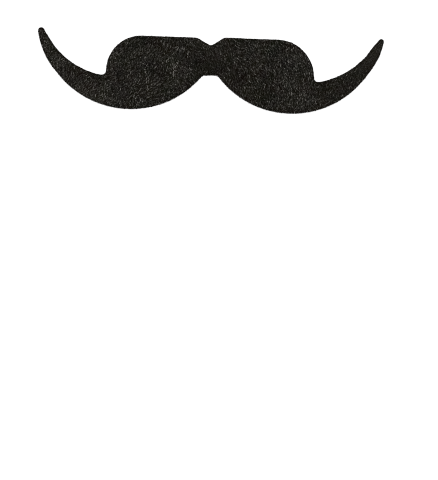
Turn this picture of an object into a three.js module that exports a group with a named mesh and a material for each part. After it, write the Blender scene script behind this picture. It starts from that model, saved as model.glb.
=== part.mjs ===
// A stick-on moustache, die-cut from one sheet of black needled felt, with an adhesive film
// over its back. It lies flat on that film, as it would on a table.
//
// Millimetres. +X runs to the wearer's left, +Y up towards the nose, +Z out of the felt's face.
// The origin is the middle of the outline's own box, on the back of the film.
import * as THREE from "three";

// Driving dimensions of the outline
const SPAN = 150; // from tip to tip
const WING_HEIGHT = 37.2; // from the lowest belly to the highest tip, as nearly as arcs go
const NECK_HEIGHT = 12.9; // the band over the upper lip, at its narrowest
const NECK_EDGE = 6.4; // length of its straight lower edge
const NECK_SHIFT = -0.4; // that edge was cut a little off the middle
const NOTCH_DEPTH = 3.5; // the dip for the bottom of the nose
const NOTCH_WIDTH = 12; // from shoulder to shoulder
const LEFT_TIP_WIDTH = 2.3; // across the curl's round end, on the wearer's left
const RIGHT_TIP_WIDTH = 2.8; // and on the right

// How far each corner of the outline is cut back along its two edges, to round it
const NOTCH_CUT = 0.8;
const SHOULDER_CUT = 0.8;
const CROOK_CUT = 2.8; // between a wing's end and its curl
const NECK_CUT = 1;

// Driving dimensions of the two layers
const FELT_THICKNESS = 2.6;
const EDGE_ROUND = 0.9; // how far in from the cut the felt's face starts to fall away
const EDGE_DROP = 1.3; // how far it has fallen at the cut, where the knife pinched it
const TIP_ROUND_SHARE = 0.4; // the most of a curl's width that either edge may take up
const EDGE_DROP_SHARE = 0.8; // the most of the thickness that the edge may fall
const FILM_THICKNESS = 0.4; // adhesive and its protective paper
const FILM_INSET = 0.7; // the film stops short of the felt's edge and stays out of sight

// Fineness of the curves
const LONGEST_STEP = 2.2; // between two points of the outline
const LARGEST_TURN = Math.PI / 8; // of an arc, between two points of it
const CORNER_STEPS = 3; // at each rounded corner
const EDGE_STEPS = 4; // round the felt's front edge

// The two wings, as a knife would follow them outwards. across is a share of half the span
// and up a share of half the wings' height. bow says how far the edge that starts at the
// corner swells out of the felt, as a share of that edge's chord. heading is where the curl's
// end points, in degrees up from the sideways line. The wearer's left curl is the lower one.
const LEFT_WING = {
  side: 1,
  brow: { across: 0.388, up: 0.719, bow: 0.226 },
  crook: { across: 0.593, up: -0.29, bow: -0.094 },
  bend: { across: 0.907, up: 0.38, bow: 0.02 },
  tip: { up: 0.674, bow: 0.061, heading: 69, width: LEFT_TIP_WIDTH },
  belly: { across: 0.909, up: -0.084, bow: 0.258 },
};
const RIGHT_WING = {
  side: -1,
  brow: { across: 0.399, up: 0.816, bow: 0.232 },
  crook: { across: 0.604, up: -0.12, bow: -0.1 },
  bend: { across: 0.907, up: 0.596, bow: 0 },
  tip: { up: 0.935, bow: 0.075, heading: 83, width: RIGHT_TIP_WIDTH },
  belly: { across: 0.901, up: 0.009, bow: 0.245 },
};
const NECK_UP = -0.114; // height of the neck's lower edge, as a share of half the wings' height
const HALF_CIRCLE = 0.5; // the bow of a half circle

// The corners run clockwise, seen from the front, so that the outside is on the left.
// Each one holds the bow of the edge to the next corner.
function wingCorners({ side, brow, crook, bend, tip, belly }) {
  const place = (across, up) => new THREE.Vector2((side * across * SPAN) / 2, (up * WING_HEIGHT) / 2);
  const floor = place(0, NECK_UP).y;
  const shoulderAt = new THREE.Vector2((side * NOTCH_WIDTH) / 2, floor + NECK_HEIGHT + NOTCH_DEPTH);
  const neckAt = new THREE.Vector2((side * NECK_EDGE) / 2 + NECK_SHIFT, floor);

  // The curl's end is a half circle that reaches the full span. Its two corners lie across it.
  const tipAt = place((SPAN - tip.width) / SPAN, tip.up);
  const heading = THREE.MathUtils.degToRad(tip.heading);
  const acrossTip = new THREE.Vector2(side * Math.sin(heading), -Math.cos(heading));
  acrossTip.multiplyScalar(tip.width / 2);

  return [
    { at: shoulderAt, bow: 0, cut: SHOULDER_CUT },
    { at: place(brow.across, brow.up), bow: brow.bow, cut: 0 },
    { at: place(crook.across, crook.up), bow: crook.bow, cut: CROOK_CUT },
    { at: place(bend.across, bend.up), bow: bend.bow, cut: 0 },
    { at: tipAt.clone().sub(acrossTip), bow: HALF_CIRCLE, cut: 0 },
    { at: tipAt.clone().add(acrossTip), bow: tip.bow, cut: 0 },
    { at: place(belly.across, belly.up), bow: belly.bow, cut: 0 },
    { at: neckAt, bow: 0, cut: NECK_CUT },
  ];
}

function outlineCorners() {
  const left = wingCorners(LEFT_WING);
  const right = wingCorners(RIGHT_WING);
  const floor = left.at(-1).at.y;
  const notch = { at: new THREE.Vector2(0, floor + NECK_HEIGHT), bow: 0, cut: NOTCH_CUT };
  // The right wing is met from the neck back to the shoulder, so each edge's bow moves on.
  const back = right.map((corner, i) => ({ ...corner, bow: i ? right[i - 1].bow : 0 })).reverse();
  return [notch, ...left, ...back];
}

// The edge from one corner to the next: a line, or an arc with the given bow.
// Its two ends are cut back along it, to leave room for the rounded corners.
function edgeCurve(from, to, bow, cutFrom, cutTo) {
  const chord = to.clone().sub(from);
  const length = chord.length();
  if (!bow) {
    return new THREE.LineCurve(
      from.clone().addScaledVector(chord, cutFrom / length),
      to.clone().addScaledVector(chord, -cutTo / length),
    );
  }
  const rise = Math.abs(bow) * length;
  const radius = length ** 2 / (8 * rise) + rise / 2;
  const outward = new THREE.Vector2(-chord.y, chord.x).normalize().multiplyScalar(Math.sign(bow));
  const centre = from.clone().add(to).multiplyScalar(0.5).addScaledVector(outward, rise - radius);
  const clockwise = bow > 0;
  const turn = clockwise ? -1 : 1;
  const start = from.clone().sub(centre).angle() + (turn * cutFrom) / radius;
  const end = to.clone().sub(centre).angle() - (turn * cutTo) / radius;
  return new THREE.EllipseCurve(centre.x, centre.y, radius, radius, start, end, clockwise);
}

// The outline as points, anticlockwise and centred on its own box.
function outlinePoints() {
  const corners = outlineCorners();
  const edges = corners.map((corner, i) => {
    const next = corners[(i + 1) % corners.length];
    return edgeCurve(corner.at, next.at, corner.bow, corner.cut, next.cut);
  });
  const points = [];
  const add = (curve, steps) => points.push(...curve.getPoints(steps).slice(0, -1));
  corners.forEach((corner, i) => {
    const before = edges[(i + edges.length - 1) % edges.length];
    if (corner.cut) {
      add(
        new THREE.QuadraticBezierCurve(before.getPoint(1), corner.at, edges[i].getPoint(0)),
        CORNER_STEPS,
      );
    }
    const turn = 4 * Math.atan(2 * Math.abs(corner.bow));
    add(edges[i], Math.ceil(Math.max(edges[i].getLength() / LONGEST_STEP, turn / LARGEST_TURN)));
  });
  const middle = new THREE.Box2().setFromPoints(points).getCenter(new THREE.Vector2());
  return points.map((point) => point.clone().sub(middle)).reverse();
}

// The same outline moved in by a distance, point by point along the corners' bisectors.
function insetPoints(points, inset) {
  return points.map((point, i) => {
    const before = points[(i + points.length - 1) % points.length];
    const after = points[(i + 1) % points.length];
    const arriving = point.clone().sub(before).normalize();
    const leaving = after.clone().sub(point).normalize();
    const inward = new THREE.Vector2(-arriving.y - leaving.y, arriving.x + leaving.x).normalize();
    const reach = inward.dot(new THREE.Vector2(-leaving.y, leaving.x));
    return point.clone().addScaledVector(inward, inset / reach);
  });
}

// A closed sheet from rings of points, the lowest first, each { points, z }.
function sheetGeometry(rings) {
  const count = rings[0].points.length;
  const positions = rings.flatMap(({ points, z }) => points.flatMap((point) => [point.x, point.y, z]));
  const faces = [];
  for (let ring = 0; ring + 1 < rings.length; ring++) {
    for (let i = 0; i < count; i++) {
      const low = ring * count + i;
      const lowNext = ring * count + ((i + 1) % count);
      faces.push(low, lowNext, lowNext + count, low, lowNext + count, low + count);
    }
  }
  const top = (rings.length - 1) * count;
  for (const [a, b, c] of THREE.ShapeUtils.triangulateShape(rings[0].points, [])) faces.push(a, c, b);
  for (const [a, b, c] of THREE.ShapeUtils.triangulateShape(rings.at(-1).points, [])) {
    faces.push(top + a, top + b, top + c);
  }
  const geometry = new THREE.BufferGeometry();
  geometry.setAttribute("position", new THREE.Float32BufferAttribute(positions, 3));
  geometry.setIndex(faces);
  geometry.computeVertexNormals();
  return geometry;
}

// The felt lies on the film. Its back is flat to the cut, and its front edge is a quarter of
// an ellipse, EDGE_ROUND in and EDGE_DROP down, or less where a curl's end has no room for it.
function feltGeometry(outline) {
  const narrowest = Math.min(LEFT_TIP_WIDTH, RIGHT_TIP_WIDTH);
  const round = Math.min(EDGE_ROUND, narrowest * TIP_ROUND_SHARE);
  const drop = Math.min(EDGE_DROP, FELT_THICKNESS * EDGE_DROP_SHARE);
  const face = FILM_THICKNESS + FELT_THICKNESS;
  const rings = [{ points: outline, z: FILM_THICKNESS }];
  for (let i = 0; i <= EDGE_STEPS; i++) {
    const angle = ((Math.PI / 2) * i) / EDGE_STEPS;
    const points = insetPoints(outline, round * (1 - Math.cos(angle)));
    rings.push({ points, z: face - drop * (1 - Math.sin(angle)) });
  }
  return sheetGeometry(rings);
}

function filmGeometry(outline) {
  const points = insetPoints(outline, FILM_INSET);
  return sheetGeometry([
    { points, z: 0 },
    { points, z: FILM_THICKNESS },
  ]);
}

function part(name, geometry, color, roughness) {
  const mesh = new THREE.Mesh(
    geometry,
    new THREE.MeshStandardMaterial({ color, roughness, metalness: 0 }),
  );
  mesh.name = name;
  return mesh;
}

const outline = outlinePoints();
const moustache = new THREE.Group();
moustache.name = "moustache";
moustache.add(
  part("felt_moustache", feltGeometry(outline), 0x22211e, 0.95),
  part("adhesive_film", filmGeometry(outline), 0xe9e6dc, 0.6),
);

export default moustache;
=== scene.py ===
"""A stick-on moustache of black needled felt, lying face up on a white table."""

import math

import bmesh
import bpy
import numpy as np
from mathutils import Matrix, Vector, noise
from mathutils.bvhtree import BVHTree


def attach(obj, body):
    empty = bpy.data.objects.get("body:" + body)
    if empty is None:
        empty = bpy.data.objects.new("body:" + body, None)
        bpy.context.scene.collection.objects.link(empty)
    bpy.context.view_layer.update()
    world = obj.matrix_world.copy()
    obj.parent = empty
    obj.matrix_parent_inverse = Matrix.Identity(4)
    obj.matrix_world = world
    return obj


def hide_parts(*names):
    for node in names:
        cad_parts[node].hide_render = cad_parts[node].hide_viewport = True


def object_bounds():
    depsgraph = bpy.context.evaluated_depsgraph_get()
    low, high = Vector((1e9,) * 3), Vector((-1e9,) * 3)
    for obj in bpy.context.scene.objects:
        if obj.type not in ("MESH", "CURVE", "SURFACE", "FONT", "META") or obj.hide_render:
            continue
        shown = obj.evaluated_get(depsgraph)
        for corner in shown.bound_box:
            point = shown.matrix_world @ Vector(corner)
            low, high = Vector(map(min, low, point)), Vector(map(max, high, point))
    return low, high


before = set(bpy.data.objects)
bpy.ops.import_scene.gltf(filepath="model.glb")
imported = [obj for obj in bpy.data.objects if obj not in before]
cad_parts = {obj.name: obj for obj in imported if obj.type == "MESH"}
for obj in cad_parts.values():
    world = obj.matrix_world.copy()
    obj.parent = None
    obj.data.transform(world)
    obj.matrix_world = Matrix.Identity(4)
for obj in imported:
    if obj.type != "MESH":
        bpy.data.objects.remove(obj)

MM = 0.001
CAD_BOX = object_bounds()
TINY = 1e-15  # no length is divided by less
NOISE_MIDDLE = 0.5  # of what a noise texture gives

# Where the photograph shows the moustache, in its own pixels
PHOTO_WIDTH = 438
PHOTO_HEIGHT = 480
PHOTO_SPAN = 346.1  # from tip to tip
PHOTO_MIDDLE = (210.95, 70.34)  # the middle of the moustache's box

# The camera looks straight down from far off, as a copy stand does
LENS = 150  # millimetres, as the sensor's width is
SENSOR = 36
FAR_CLIP = 20  # metres
PIXEL_FILTER = 1.1  # narrow, because the felt's grain is as fine as the pixels

# The table, and the light
TABLE_HALF = 3  # half its width, in metres
TABLE_GREY = 0.9
TABLE_ROUGHNESS = 0.9
KEY_STRENGTH = 3.3
KEY_SPREAD = math.radians(20)
KEY_TILT = math.radians(4)  # towards the nose's side
ROOM_GREY = 0.3

# The felt sheet, in millimetres
WELD = 0.0001  # points this near are one
VOXEL = 0.3  # between two points of the even mesh
PILE_DEPTH = 0.15  # the fibres lie this deep over the sheet
LUMPS = (  # how the needles left the felt's face
    {"across": 14.0, "height": 0.10},
    {"across": 2.2, "height": 0.10},
    {"across": 0.9, "height": 0.07},
)
LUMP_APART = 17  # sets each size of lump apart from the others in the noise
LUMP_FADE = 0.6  # the lumps and the pile's depth fade out towards normals that point down by this

# Fibre colours. A fibre's colour is the warm black plus its shade times the grey.
WARM_BLACK = (0.0007, 0.0, -0.0015)
FIBRE_GREY = (0.0162, 0.0156, 0.0143)
BLACKEST = (0.0009, 0.0006, 0.0003)
SHEET_PAINTED_SHADE = 0.2  # of the sheet under the fibres: black felt made darker than the fibres, as painted shade in the gaps between them
PALEST = 16

# The pile's pattern: sizes in millimetres, and how widely it swings the fibres' shades
GRAIN = {"across": 0.46, "along": 0.7, "detail": 0, "swing": 3.0}  # dots and short streaks
PATCHES = {"across": 5.0, "along": 5.0, "detail": 0.5, "swing": 0.5}  # pressed unevenly
TINTS = {"across": 6.0, "along": 6.0, "detail": 3, "swing": 0.0045}  # the dye's own unevenness
SHEET_GRAIN = 0.5  # of the grain's swing, on the sheet under the fibres
PAINTED_EDGE_SHADE = 0.6  # painted shade: the fibres' shade over the cut wall, to that on the face
PAINTED_EDGE_POWER = 4  # the higher, the sooner this painted shade darkens the fibres as the face turns down

# How the pile takes the light
PILE_ROUGHNESS = 0.85
PILE_ROUGHNESS_SWING = 0.4
PILE_SPECULAR = 0.02
PILE_BUMP = 0.05  # millimetres

# The release paper: its colours, and the sizes of its clouds and tooth in millimetres
PAPER_DARK = (0.66, 0.64, 0.57)
PAPER_LIGHT = (0.80, 0.78, 0.72)
PAPER_CLOUDS = {"across": 3.0, "along": 3.0, "detail": 4}
PAPER_TOOTH = {"across": 0.25, "along": 0.25, "detail": 2}
PAPER_ROUGHNESS = (0.4, 0.65)
PAPER_BUMP = 0.01

# Places where the pile is brushed up paler (gain over 0) or lies duller, in millimetres
WORN = (
    {"across": -73, "up": 14, "reach": 4, "gain": 0.2},
    {"across": -68, "up": 3, "reach": 5, "gain": 0.5},
    {"across": -59, "up": -2, "reach": 3, "gain": -0.4},
    {"across": -56, "up": -10, "reach": 4, "gain": 0.6},
    {"across": -50, "up": -2, "reach": 3, "gain": -0.55},
    {"across": -47, "up": -13, "reach": 5, "gain": 0.5},
    {"across": -43, "up": 6, "reach": 4, "gain": 0.3},
    {"across": -42, "up": -9, "reach": 3, "gain": -0.25},
    {"across": -32, "up": -16, "reach": 4, "gain": 0.2},
    {"across": -28, "up": 8, "reach": 4, "gain": 0.35},
    {"across": -27, "up": 1, "reach": 3, "gain": -0.25},
    {"across": -31, "up": 15, "reach": 5, "gain": -0.35},
    {"across": -16, "up": 3, "reach": 3, "gain": 0.15},
    {"across": -15, "up": -9, "reach": 4, "gain": 0.25},
    {"across": -8, "up": 3, "reach": 4, "gain": -0.35},
    {"across": 1, "up": 1, "reach": 5, "gain": -0.5},
    {"across": 12, "up": -3, "reach": 5, "gain": -0.5},
    {"across": 11, "up": 12, "reach": 3, "gain": -0.35},
    {"across": 5, "up": 12, "reach": 3, "gain": 0.35},
    {"across": 9, "up": 4, "reach": 3, "gain": -0.35},
    {"across": 20, "up": 7, "reach": 5, "gain": 0.35},
    {"across": 25, "up": -12, "reach": 5, "gain": -0.3},
    {"across": 31, "up": 10, "reach": 3, "gain": -0.3},
    {"across": 25, "up": -5, "reach": 3, "gain": -0.3},
    {"across": 30, "up": -17, "reach": 4, "gain": 0.3},
    {"across": 38, "up": 4, "reach": 4, "gain": 0.4},
    {"across": 32, "up": -4, "reach": 5, "gain": 0.35},
    {"across": 41, "up": -12, "reach": 4, "gain": 0.25},
    {"across": 47, "up": -6, "reach": 4, "gain": -0.4},
    {"across": 52, "up": -10, "reach": 3, "gain": -0.35},
    {"across": 57, "up": -7, "reach": 4, "gain": -0.3},
    {"across": 60, "up": -3, "reach": 4, "gain": -0.3},
    {"across": 67, "up": 0, "reach": 5, "gain": -0.3},
)

# Places where the pile is pressed flat, so that its grain shows less (share is how much less)
PRESSED = (
    {"across": -56, "up": -5, "reach": 12, "share": 0.2},
    {"across": 2, "up": 3, "reach": 12, "share": 0.25},
    {"across": 53, "up": -6, "reach": 9, "share": 0.25},
    {"across": 70, "up": 4, "reach": 11, "share": 0.75},
)

# Fibres that lie on the face, one piece for each row. All lengths are in millimetres. lift is
# how high a fibre's middle stands off the sheet, and bend how far it turns from point to point.
# shade is the middle of the fibres' shades, and spread says how widely they vary.
FIBRES = (
    {"name": "locks", "seed": 31, "spacing": 0.52, "length": (0.8, 2.0), "radius": (0.10, 0.18),
     "lift": (0.0, 0.08), "bend": 0.15, "shade": 0.76, "spread": 1.15},
    {"name": "fibres", "seed": 32, "spacing": 0.52, "length": (1.0, 2.8), "radius": (0.05, 0.10),
     "lift": (0.02, 0.14), "bend": 0.15, "shade": 0.76, "spread": 1.1},
    {"name": "fine_fibres", "seed": 33, "spacing": 0.61, "length": (0.6, 1.6), "radius": (0.03, 0.05),
     "lift": (0.04, 0.2), "bend": 0.35, "shade": 0.9, "spread": 1.0},
    # pale partly as lint and partly as painted glints: the fibres' highlights put into their colour
    {"name": "lint_and_glint_fibres", "seed": 34, "spacing": 1.0, "length": (0.7, 2.0), "radius": (0.07, 0.11),
     "lift": (0.08, 0.2), "bend": 0.4, "shade": 2.3, "spread": 0.85},
)

# Each fibre on the face has a rank, which sets its shade among the others. These steps from one
# place to the next keep neighbours' ranks far apart.
RANK_STEPS = (0.7549, 0.5698)
RANK_STRAY = 0.2
RANK_MARGIN = 0.002  # no rank is nearer to 0 or 1
RANK_SWING = 0.55  # turns the ranks into swings with a deviation of 1

# Which way the fibres lie, in degrees up from the sideways line, by the place in millimetres
# across the moustache
FLOW = (
    {"across": -72, "heading": 65},
    {"across": -55, "heading": 55},
    {"across": -22, "heading": 50},
    {"across": -14, "heading": 105},
    {"across": 14, "heading": 115},
    {"across": 32, "heading": 102},
    {"across": 45, "heading": 78},
    {"across": 70, "heading": 50},
)
SWIRL = {"across": 7.0, "turn": 0.8, "stray": 0.15}  # how far they wander off it, in radians

# Fibres in the cut wall, which lie along it. facing is how far up the felt's own face points
# where they grow, from -1 for down to 1 for up.
WALL_FIBRES = {"name": "wall_fibres", "seed": 57, "count": 5000, "facing": (-0.3, 0.4), "stray": 0.2,
               "length": (0.6, 1.8), "radius": (0.04, 0.09), "lift": (0.0, 0.06), "bend": 0.15,
               "shade": 0.9, "spread": 0.9}

# Fibres that stand loose off the face and the cut wall, rooted a little under it
FUZZ = {"name": "fuzz", "seed": 58, "count": 7000, "facing": (-0.3, 1), "root": 0.05,
        "length": (0.3, 0.9), "radius": (0.012, 0.025), "lean": 0.35, "bend": 0.4,
        "shade": 0.9, "spread": 0.8}

# Long pale fibres, pale partly as lint and partly as painted glints, each a chain of short ones:
# where it starts, its heading and whole turn in degrees, and its length. In millimetres.
STRAY_FIBRES = {"name": "stray_fibres", "seed": 59, "length": (1.8, 2.2), "radius": (0.10, 0.14),
                "lift": (0.25, 0.35), "bend": 0.05, "shade": 14.0, "spread": 0.15}
STRAY_STEP = 1.0
STRAYS = (
    {"across": -16.2, "up": -3.3, "heading": 90, "turn": -5, "length": 4},
    {"across": -15.9, "up": 0.9, "heading": 100, "turn": 60, "length": 2},
    {"across": -19.4, "up": 2.9, "heading": 75, "turn": -45, "length": 2},
    {"across": -15.7, "up": 0.9, "heading": 60, "turn": 0, "length": 1},
    {"across": -14.5, "up": 8.2, "heading": 85, "turn": 0, "length": 1},
    {"across": -10.4, "up": 6.2, "heading": 70, "turn": 0, "length": 1},
    {"across": -9.6, "up": 1.4, "heading": -60, "turn": 0, "length": 1},
    {"across": -29.2, "up": 0.8, "heading": -60, "turn": 0, "length": 2},
    {"across": -27.6, "up": -9.4, "heading": 85, "turn": 0, "length": 2},
)

# Every fibre is a strand: a point at each end, and rings between them
STRAND_RINGS = 3
STRAND_STEPS = STRAND_RINGS + 1
STRAND_SIDES = 3
STRAND_TAPER = 0.5  # the lower, the blunter
STRAND_WANDER = 0.25  # how far a lying one strays from its bend at each point, in radians
STRAND_WAVE = (-0.06, 0.02)  # how far its points lie off its arch, in millimetres
TABLE_GAP = 0.02  # no strand comes nearer to the table, in millimetres
MAP_MARGIN = 0.1  # round each strand in its cell of the texture map


def put_in_scene(name, mesh):
    piece = bpy.data.objects.new(name, mesh)
    bpy.context.scene.collection.objects.link(piece)
    return piece


def unit(vectors):
    """The same directions, with a length of 1."""
    return vectors / np.maximum(np.linalg.norm(vectors, axis=-1, keepdims=True), TINY)


# Materials


def worked_out(nodes, links, kind, operation, *values):
    """What a maths node makes of the values, which are plain ones or other nodes' outputs."""
    node = nodes.new(kind)
    node.operation = operation
    for socket, value in zip(node.inputs, values):
        if isinstance(value, bpy.types.NodeSocket):
            links.new(value, socket)
        else:
            socket.default_value = value
    return node.outputs[0]


def noise_pattern(nodes, links, place, size):
    """A noise texture whose spots have the given size."""
    across, along = 1 / (size["across"] * MM), 1 / (size["along"] * MM)
    scaled = worked_out(nodes, links, "ShaderNodeVectorMath", "MULTIPLY", place, (across, along, across))
    node = nodes.new("ShaderNodeTexNoise")
    node.inputs["Scale"].default_value = 1
    node.inputs["Detail"].default_value = size["detail"]
    links.new(scaled, node.inputs["Vector"])
    return node.outputs


def pile_group():
    """The pile's colour at a place, from the shade of the fibre there, and the grain's height."""
    group = bpy.data.node_groups.new("pile", "ShaderNodeTree")
    for name in ("Shade", "Grain", "Patches"):
        group.interface.new_socket(name, in_out="INPUT", socket_type="NodeSocketFloat")
    group.interface.new_socket("Colour", in_out="OUTPUT", socket_type="NodeSocketColor")
    group.interface.new_socket("Roughness", in_out="OUTPUT", socket_type="NodeSocketFloat")
    group.interface.new_socket("Height", in_out="OUTPUT", socket_type="NodeSocketFloat")
    nodes, links = group.nodes, group.links
    given = nodes.new("NodeGroupInput").outputs
    made = nodes.new("NodeGroupOutput").inputs
    place = nodes.new("ShaderNodeTexCoord").outputs["Object"]

    def maths(operation, *values):
        return worked_out(nodes, links, "ShaderNodeMath", operation, *values)

    def vectors(operation, *values):
        return worked_out(nodes, links, "ShaderNodeVectorMath", operation, *values)

    def centred(size):
        return maths("SUBTRACT", noise_pattern(nodes, links, place, size)["Fac"], NOISE_MIDDLE)

    grain = centred(GRAIN)
    grain_swing = maths("MULTIPLY", grain, given["Grain"])
    patch_swing = maths("MULTIPLY", centred(PATCHES), given["Patches"])
    swing = maths("EXPONENT", maths("ADD", grain_swing, patch_swing))
    shade = maths("MINIMUM", maths("MULTIPLY", swing, given["Shade"]), PALEST)
    grey = vectors("MULTIPLY", shade, FIBRE_GREY)
    dye = noise_pattern(nodes, links, place, TINTS)["Color"]
    tint = vectors("MULTIPLY", vectors("SUBTRACT", dye, (NOISE_MIDDLE,) * 3), (TINTS["swing"],) * 3)
    tinted = vectors("ADD", vectors("ADD", grey, tint), WARM_BLACK)
    links.new(vectors("MAXIMUM", tinted, BLACKEST), made["Colour"])
    roughness = maths("ADD", maths("MULTIPLY", grain, PILE_ROUGHNESS_SWING), PILE_ROUGHNESS)
    links.new(roughness, made["Roughness"])
    links.new(grain, made["Height"])
    return group


def new_material(name):
    material = bpy.data.materials.new(name)
    material.use_nodes = True
    nodes = material.node_tree.nodes
    return material, nodes, material.node_tree.links, nodes["Principled BSDF"]


def emboss(nodes, links, skin, height, distance):
    """Raise the shader's surface by up to a distance in millimetres."""
    bump = nodes.new("ShaderNodeBump")
    bump.inputs["Distance"].default_value = distance * MM
    links.new(height, bump.inputs["Height"])
    links.new(bump.outputs["Normal"], skin.inputs["Normal"])


def table_material():
    material, _, _, skin = new_material("table")
    skin.inputs["Base Color"].default_value = (TABLE_GREY, TABLE_GREY, TABLE_GREY, 1)
    skin.inputs["Roughness"].default_value = TABLE_ROUGHNESS
    return material


def felt_material():
    """Felt and the fibres on it. Each mesh carries the shade and the grain of its own points."""
    material, nodes, links, skin = new_material("black_felt")
    look = nodes.new("ShaderNodeGroup")
    look.node_tree = pile_group()
    look.inputs["Patches"].default_value = PATCHES["swing"]
    for carried in ("shade", "grain"):
        attribute = nodes.new("ShaderNodeAttribute")
        attribute.attribute_name = carried
        links.new(attribute.outputs["Fac"], look.inputs[carried.capitalize()])
    links.new(look.outputs["Colour"], skin.inputs["Base Color"])
    links.new(look.outputs["Roughness"], skin.inputs["Roughness"])
    emboss(nodes, links, skin, look.outputs["Height"], PILE_BUMP)
    skin.inputs["Specular IOR Level"].default_value = PILE_SPECULAR
    return material


def paper_material():
    """Coated paper: faint clouds in its colour and gloss, and a fine tooth."""
    material, nodes, links, skin = new_material("release_paper")
    place = nodes.new("ShaderNodeTexCoord").outputs["Object"]
    clouds = noise_pattern(nodes, links, place, PAPER_CLOUDS)["Fac"]
    tooth = noise_pattern(nodes, links, place, PAPER_TOOTH)["Fac"]
    colour = nodes.new("ShaderNodeMix")
    colour.data_type = "RGBA"
    colour.inputs["A"].default_value = (*PAPER_DARK, 1)
    colour.inputs["B"].default_value = (*PAPER_LIGHT, 1)
    links.new(clouds, colour.inputs["Factor"])
    links.new(colour.outputs["Result"], skin.inputs["Base Color"])
    gloss = nodes.new("ShaderNodeMapRange")
    gloss.inputs["To Min"].default_value, gloss.inputs["To Max"].default_value = PAPER_ROUGHNESS
    links.new(clouds, gloss.inputs["Value"])
    links.new(gloss.outputs["Result"], skin.inputs["Roughness"])
    emboss(nodes, links, skin, tooth, PAPER_BUMP)
    return material


def nearness(places, spot):
    """1 at the spot, and less with the distance from it."""
    away = np.hypot(places[:, 0] - spot["across"] * MM, places[:, 1] - spot["up"] * MM)
    return np.exp(-((away / (spot["reach"] * MM)) ** 2))


def crispness(places):
    """How much of the grain is left at each place."""
    return 1 - sum(spot["share"] * nearness(places, spot) for spot in PRESSED)


def worn_shade(places):
    """How much paler or duller the pile is at each place."""
    return np.exp(sum(spot["gain"] * nearness(places, spot) for spot in WORN))


def carry(mesh, name, values):
    mesh.attributes.new(name, "FLOAT", "POINT").data.foreach_set("value", values)


# The felt sheet


def even_copy(node):
    """The node's solid as a fine even mesh, in an object of its own."""
    mesh = node.data.copy()
    shape = bmesh.new()
    shape.from_mesh(mesh)
    bmesh.ops.remove_doubles(shape, verts=shape.verts, dist=WELD * MM)
    shape.to_mesh(mesh)
    shape.free()
    piece = put_in_scene("felt", mesh)
    remesh = piece.modifiers.new("even", "REMESH")
    remesh.mode = "VOXEL"
    remesh.voxel_size = VOXEL * MM
    remesh.use_smooth_shade = True
    fine = bpy.data.meshes.new_from_object(piece.evaluated_get(bpy.context.evaluated_depsgraph_get()))
    piece.modifiers.clear()
    piece.data = fine
    return piece


def lump(place, across, seed):
    return noise.noise(place / (across * MM) + Vector((seed, 0, 0)))


def felt_piece(material):
    """The sheet under the fibres: lumpy, and as much thinner as the fibres need."""
    piece = even_copy(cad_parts["felt_moustache"])
    mesh = piece.data
    count = len(mesh.vertices)
    places = np.empty(count * 3)
    normals = np.empty(count * 3)
    mesh.vertices.foreach_get("co", places)
    mesh.vertices.foreach_get("normal", normals)
    places = places.reshape(-1, 3)
    normals = normals.reshape(-1, 3)
    rise = np.full(count, -PILE_DEPTH * MM)
    for i, size in enumerate(LUMPS):
        seed = LUMP_APART * i
        rise += [size["height"] * MM * lump(Vector(place), size["across"], seed) for place in places]
    face = np.clip((normals[:, 2] + LUMP_FADE) / LUMP_FADE, 0, 1)
    places += normals * (rise * face)[:, None]
    mesh.vertices.foreach_set("co", places.ravel())
    mesh.update()
    # the sheet's black, darkened as painted shade for the gaps between the fibres
    carry(mesh, "shade", SHEET_PAINTED_SHADE * worn_shade(places))
    carry(mesh, "grain", GRAIN["swing"] * SHEET_GRAIN * crispness(places))
    mesh.materials.clear()
    mesh.materials.append(material)
    return piece


# Fibres


def surface_samples(mesh, rng, row):
    """Random places and their normals, spread by area, on faces that point as far up as the row
    says."""
    mesh.calc_loop_triangles()
    corners = np.empty(len(mesh.loop_triangles) * 3, np.int32)
    mesh.loop_triangles.foreach_get("vertices", corners)
    places = np.empty(len(mesh.vertices) * 3)
    mesh.vertices.foreach_get("co", places)
    a, b, c = places.reshape(-1, 3)[corners].reshape(-1, 3, 3).transpose(1, 0, 2)
    cross = np.cross(b - a, c - a)
    area = np.linalg.norm(cross, axis=1)
    normals = unit(cross)
    least, most = row["facing"]
    weight = area * (normals[:, 2] > least) * (normals[:, 2] <= most)
    pick = rng.choice(len(area), row["count"], p=weight / weight.sum())
    u, v = rng.random((2, row["count"]))
    fold = u + v > 1
    u[fold], v[fold] = 1 - u[fold], 1 - v[fold]
    places = a[pick] + (b - a)[pick] * u[:, None] + (c - a)[pick] * v[:, None]
    return places, normals[pick]


def face_places(spacing, ground, rng):
    """Places spread evenly over the felt's face, and the rank of each, from 0 to 1."""
    low, high = CAD_BOX
    step = spacing * MM
    places, ranks = [], []
    for i in range(math.ceil((high[0] - low[0]) / step)):
        for j in range(math.ceil((high[1] - low[1]) / step)):
            across, up, stray = np.array([i, j, 0]) + rng.uniform(0, 1, 3)
            above = Vector((low[0] + across * step, low[1] + up * step, high[2] + MM))
            hit = ground.ray_cast(above, Vector((0, 0, -1)))[0]
            if hit:
                places.append(hit)
                ranks.append((i * RANK_STEPS[0] + j * RANK_STEPS[1] + stray * RANK_STRAY) % 1)
    return np.array(places), np.clip(ranks, RANK_MARGIN, 1 - RANK_MARGIN)


def lying_headings(starts, rng):
    """Along the flow, more or less, in slow swirls."""
    swirl = np.array([noise.noise(Vector(start) / (SWIRL["across"] * MM)) for start in starts])
    across = [row["across"] * MM for row in FLOW]
    flow = np.interp(starts[:, 0], across, [math.radians(row["heading"]) for row in FLOW])
    return flow + SWIRL["turn"] * swirl + rng.normal(0, SWIRL["stray"], len(starts))


def level_directions(headings):
    return np.stack([np.cos(headings), np.sin(headings), np.zeros(len(headings))], 1)


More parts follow.
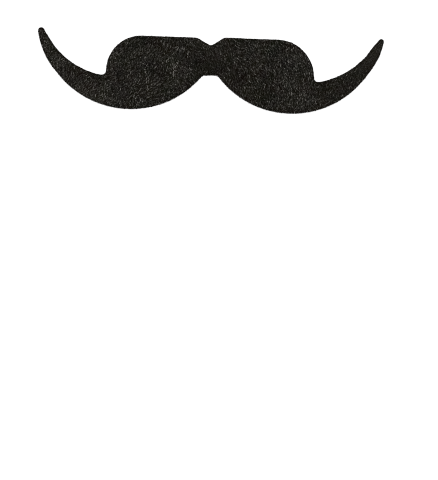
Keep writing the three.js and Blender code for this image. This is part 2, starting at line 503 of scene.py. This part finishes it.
def lying_lines(ground, starts, headings, rng, row):
    """Curved lines that follow the felt's surface, lifted off it in the middle.
    The second result is how level the felt is under each line."""
    count = len(starts)
    span = rng.uniform(*row["length"], count) * MM / STRAND_STEPS
    turn = rng.normal(0, row["bend"], count)
    lines = np.empty((count, STRAND_STEPS + 1, 3))
    place = starts.copy()
    for j in range(STRAND_STEPS + 1):
        lines[:, j] = place
        place = place + level_directions(headings) * span[:, None]
        headings = headings + turn + rng.normal(0, STRAND_WANDER, count)
    arch = np.sin(np.linspace(0, math.pi, STRAND_STEPS + 1))
    rise = arch * rng.uniform(*row["lift"], (count, 1)) * MM
    rise += rng.uniform(*STRAND_WAVE, (count, STRAND_STEPS + 1)) * MM
    level = np.zeros(count)
    for i in range(count):
        for j in range(STRAND_STEPS + 1):
            near, normal, _, _ = ground.find_nearest(lines[i, j])
            lines[i, j] = near + normal * rise[i, j]
            level[i] += normal[2] / (STRAND_STEPS + 1)
    return lines, level


def loose_lines(starts, normals, rng, row):
    """Curved lines that lean out from the felt."""
    count = len(starts)
    span = rng.uniform(*row["length"], count) * MM / STRAND_STEPS
    forward = rng.normal(0, 1, (count, 3))
    forward -= normals * (forward * normals).sum(1)[:, None]
    forward = unit(forward) + normals * np.abs(rng.normal(0, row["lean"], count))[:, None]
    lines = np.empty((count, STRAND_STEPS + 1, 3))
    place = starts.copy()
    for j in range(STRAND_STEPS + 1):
        lines[:, j] = place
        place = place + unit(forward) * span[:, None]
        forward = forward + rng.normal(0, row["bend"], (count, 3))
    return lines


def strand_points(lines, radius):
    """The points of each strand: its start, its rings and its end."""
    along = unit(np.gradient(lines, axis=1))
    side = unit(np.cross(along, (0, 0, 1)))
    over = np.cross(side, along)
    taper = np.sin(np.linspace(0, math.pi, STRAND_STEPS + 1))[1:-1] ** STRAND_TAPER
    angles = np.arange(STRAND_SIDES) * 2 * math.pi / STRAND_SIDES + math.pi / 2
    wide = radius[:, None, None, None] * taper[None, :, None, None]
    rings = lines[:, 1:-1, None] + wide * (
        np.cos(angles)[None, None, :, None] * side[:, 1:-1, None]
        + np.sin(angles)[None, None, :, None] * over[:, 1:-1, None]
    )
    points = np.concatenate([lines[:, :1], rings.reshape(len(lines), -1, 3), lines[:, -1:]], 1)
    points[..., 2] = np.maximum(points[..., 2], TABLE_GAP * MM)
    return points


def strand_faces():
    """One strand's triangles, and where each of their corners lies round and along the strand."""

    def corner(ring, k):
        if ring == 0:
            return 0
        if ring == STRAND_STEPS:
            return 1 + STRAND_RINGS * STRAND_SIDES
        return 1 + (ring - 1) * STRAND_SIDES + k % STRAND_SIDES

    faces, corners = [], []
    for low in range(STRAND_STEPS):
        high = low + 1
        for k in range(STRAND_SIDES):
            if low > 0:
                faces.append([corner(low, k), corner(low, k + 1), corner(high, k)])
                corners.append([(k, low), (k + 1, low), (k + 0.5 * (high == STRAND_STEPS), high)])
            if high < STRAND_STEPS:
                faces.append([corner(low, k + 1), corner(high, k + 1), corner(high, k)])
                corners.append([(k + 1 - 0.5 * (low == 0), low), (k + 1, high), (k, high)])
    return np.array(faces), np.array(corners) / (STRAND_SIDES, STRAND_STEPS)


def strand_piece(row, lines, shades, grain, rng, material):
    """One mesh of thin closed strands, each tapered to a point at both ends."""
    count = len(lines)
    points = strand_points(lines, rng.uniform(*row["radius"], count) * MM)
    a_strand = points.shape[1]
    faces, corners = strand_faces()
    all_faces = (np.arange(count)[:, None, None] * a_strand + faces).reshape(-1, 3)
    grid = math.ceil(math.sqrt(count))
    cells = np.stack([np.arange(count) % grid, np.arange(count) // grid], 1)
    in_cell = MAP_MARGIN + (1 - 2 * MAP_MARGIN) * corners
    uv = ((cells[:, None, None] + in_cell) / grid).reshape(-1, 2)

    mesh = bpy.data.meshes.new(row["name"])
    mesh.vertices.add(count * a_strand)
    mesh.vertices.foreach_set("co", points.ravel())
    mesh.loops.add(all_faces.size)
    mesh.loops.foreach_set("vertex_index", all_faces.ravel())
    mesh.polygons.add(len(all_faces))
    mesh.polygons.foreach_set("loop_start", np.arange(0, all_faces.size, 3))
    mesh.polygons.foreach_set("use_smooth", np.ones(len(all_faces), bool))
    mesh.update(calc_edges=True)
    mesh.uv_layers.new(name="OFBake").uv.foreach_set("vector", uv.ravel())
    carry(mesh, "shade", np.repeat(shades, a_strand))
    carry(mesh, "grain", np.repeat(grain, a_strand))
    mesh.materials.append(material)
    return put_in_scene(row["name"], mesh)


def painted_edge_shade(level):
    """Painted shade: the pile gets darker where the felt's edge falls away from the light overhead."""
    return PAINTED_EDGE_SHADE + (1 - PAINTED_EDGE_SHADE) * np.clip(level, 0, 1) ** PAINTED_EDGE_POWER


def fibre_shades(row, swing, places):
    """Shades that swing less where the pile is pressed, with the same mean."""
    crisp = crispness(places)
    mean_kept = (1 - crisp**2) * row["spread"] ** 2 / 2
    return row["shade"] * np.exp(swing * row["spread"] * crisp + mean_kept) * worn_shade(places)


def fibre_grain(places):
    return GRAIN["swing"] * crispness(places)


def face_fibres(row, ground, material):
    rng = np.random.default_rng(row["seed"])
    starts, ranks = face_places(row["spacing"], ground, rng)
    headings = lying_headings(starts, rng)
    behind = starts - level_directions(headings) * np.mean(row["length"]) / 2 * MM
    lines, level = lying_lines(ground, behind, headings, rng, row)
    swing = RANK_SWING * np.log(ranks / (1 - ranks))
    # painted shade on the fibres over the felt's rounded edge, where it turns away from the light
    shades = fibre_shades(row, swing, starts) * painted_edge_shade(level)
    return strand_piece(row, lines, shades, fibre_grain(starts), rng, material)


def wall_fibres(mesh, ground, material):
    row = WALL_FIBRES
    rng = np.random.default_rng(row["seed"])
    starts, normals = surface_samples(mesh, rng, row)
    headings = np.arctan2(normals[:, 1], normals[:, 0]) + math.pi / 2
    headings += math.pi * rng.integers(0, 2, len(starts)) + rng.normal(0, row["stray"], len(starts))
    lines, _ = lying_lines(ground, starts, headings, rng, row)
    shades = fibre_shades(row, rng.normal(0, 1, len(lines)), starts)
    return strand_piece(row, lines, shades, fibre_grain(starts), rng, material)


def fuzz(mesh, material):
    row = FUZZ
    rng = np.random.default_rng(row["seed"])
    starts, normals = surface_samples(mesh, rng, row)
    lines = loose_lines(starts - normals * row["root"] * MM, normals, rng, row)
    shades = fibre_shades(row, rng.normal(0, 1, len(lines)), starts)
    return strand_piece(row, lines, shades, fibre_grain(starts), rng, material)


def stray_fibres(ground, material):
    row = STRAY_FIBRES
    rng = np.random.default_rng(row["seed"])
    starts, headings = [], []
    for stray in STRAYS:
        steps = round(stray["length"] / STRAY_STEP)
        place = np.array([stray["across"] * MM, stray["up"] * MM, CAD_BOX[1][2]])
        for step in range(steps):
            heading = math.radians(stray["heading"] + stray["turn"] * step / steps)
            starts.append(place)
            headings.append(heading)
            place = place + np.array([math.cos(heading), math.sin(heading), 0]) * STRAY_STEP * MM
    lines, _ = lying_lines(ground, np.array(starts), np.array(headings), rng, row)
    shades = row["shade"] * np.exp(rng.normal(0, row["spread"], len(lines)))
    return strand_piece(row, lines, shades, np.ones(len(lines)), rng, material)


def fibre_pieces(felt, material):
    mesh = felt.data
    points = [vertex.co.copy() for vertex in mesh.vertices]
    ground = BVHTree.FromPolygons(points, [tuple(face.vertices) for face in mesh.polygons])
    made = [face_fibres(row, ground, material) for row in FIBRES]
    made.append(wall_fibres(mesh, ground, material))
    made.append(fuzz(mesh, material))
    made.append(stray_fibres(ground, material))
    return made


# The setting


def table():
    mesh = bpy.data.meshes.new("table")
    corners = [(x * TABLE_HALF, y * TABLE_HALF, 0) for x, y in ((-1, -1), (1, -1), (1, 1), (-1, 1))]
    mesh.from_pydata(corners, [], [(0, 1, 2, 3)])
    mesh.materials.append(table_material())
    piece = put_in_scene("table", mesh)


def lights():
    key = bpy.data.lights.new("key", "SUN")
    key.energy = KEY_STRENGTH
    key.angle = KEY_SPREAD
    lamp = put_in_scene("key", key)
    lamp.rotation_euler = (-KEY_TILT, 0, 0)
    world = bpy.data.worlds.new("room")
    world.use_nodes = True
    world.node_tree.nodes["Background"].inputs["Color"].default_value = (ROOM_GREY,) * 3 + (1,)
    bpy.context.scene.world = world


def camera():
    pixel = (CAD_BOX[1][0] - CAD_BOX[0][0]) / PHOTO_SPAN
    half_thickness = CAD_BOX[1][2] / 2
    data = bpy.data.cameras.new("camera")
    data.sensor_fit = "HORIZONTAL"
    data.sensor_width = SENSOR
    data.lens = LENS
    data.clip_end = FAR_CLIP
    seat = put_in_scene("camera", data)
    across = (PHOTO_WIDTH / 2 - PHOTO_MIDDLE[0]) * pixel
    up = (PHOTO_MIDDLE[1] - PHOTO_HEIGHT / 2) * pixel
    seat.location = (across, up, half_thickness + PHOTO_WIDTH * pixel * LENS / SENSOR)
    bpy.context.scene.camera = seat


def picture():
    scene = bpy.context.scene
    scene.view_settings.view_transform = "Standard"
    # The felt's grain is real detail, which smoothing would take for noise
    scene.cycles.use_denoising = False
    scene.cycles.filter_width = PIXEL_FILTER


felt_look = felt_material()
felt = felt_piece(felt_look)
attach(felt, "root")
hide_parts("felt_moustache")

for fibres in fibre_pieces(felt, felt_look):
    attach(fibres, "root")

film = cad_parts["adhesive_film"]
film.data.materials.clear()
film.data.materials.append(paper_material())

table()
lights()
camera()
picture()
